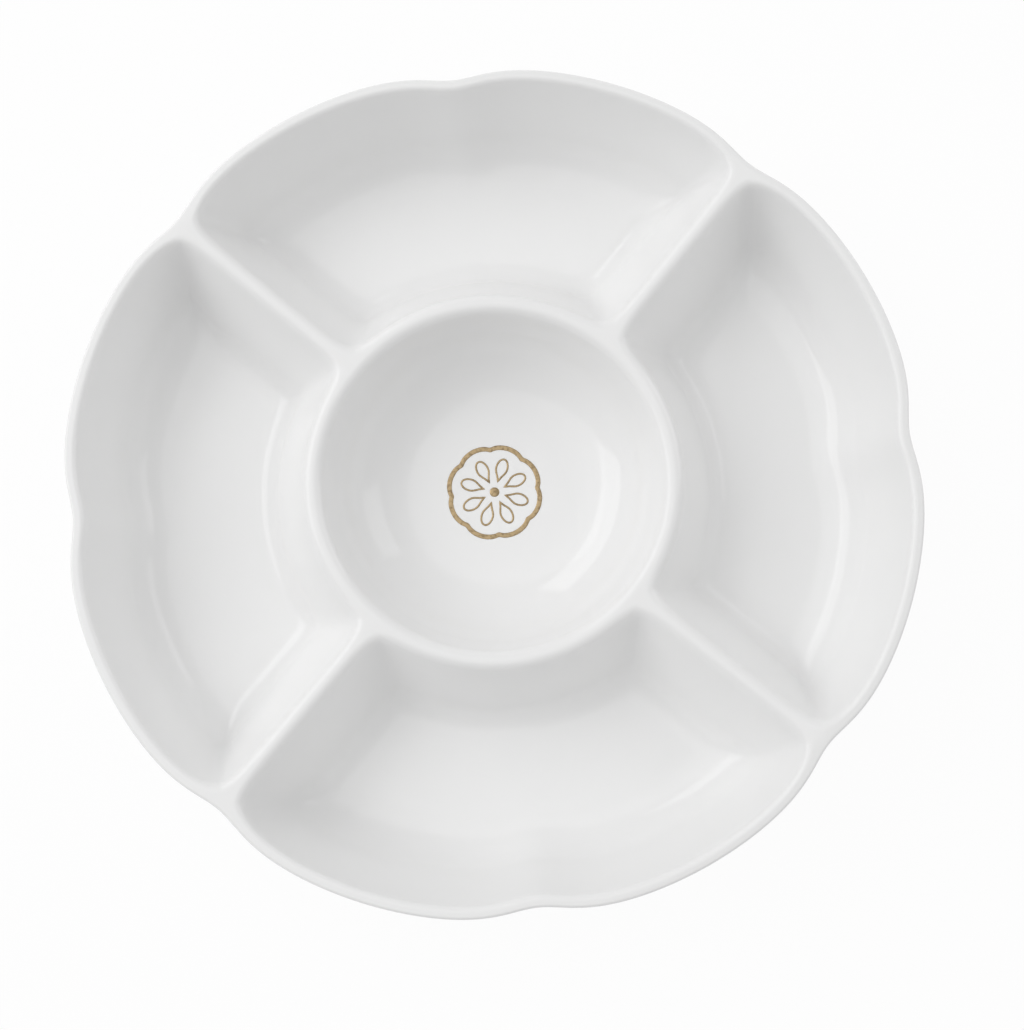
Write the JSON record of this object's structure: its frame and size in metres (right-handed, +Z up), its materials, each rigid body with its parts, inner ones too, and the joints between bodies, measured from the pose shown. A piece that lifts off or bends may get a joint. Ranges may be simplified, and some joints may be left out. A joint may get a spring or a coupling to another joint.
{
  "type": "divided snack bowl",
  "caption": "Round white porcelain snack dish with a petal-edged rim, outer compartments set apart by low dividers, a round centre bowl and a small gilt rosette.",
  "frame": {"origin": "middle of the plane that the foot ring stands on", "axes": "+Z up out of the dish, +X to the right and -Y towards the front; the dividers run along the diagonals"},
  "size_m": [0.2754, 0.2754, 0.044],
  "materials": {
    "glazed_porcelain": "clear gloss glaze over white porcelain",
    "bare_porcelain": "unglazed, wiped foot",
    "burnished_gold": "satin overglaze gold"
  },
  "bodies": {
    "root": {"tray": "glazed_porcelain", "centre_bowl": "glazed_porcelain", "divider_back_right": "glazed_porcelain", "divider_back_left": "glazed_porcelain", "divider_front_left": "glazed_porcelain", "divider_front_right": "glazed_porcelain", "foot_ring": "bare_porcelain", "gilt_band": "burnished_gold", "gilt_bead": "burnished_gold", "gilt_petal_1": "burnished_gold", "gilt_petal_2": "burnished_gold", "gilt_petal_3": "burnished_gold", "gilt_petal_4": "burnished_gold", "gilt_petal_5": "burnished_gold", "gilt_petal_6": "burnished_gold", "gilt_petal_7": "burnished_gold", "gilt_petal_8": "burnished_gold"}
  },
  "joints": []
}
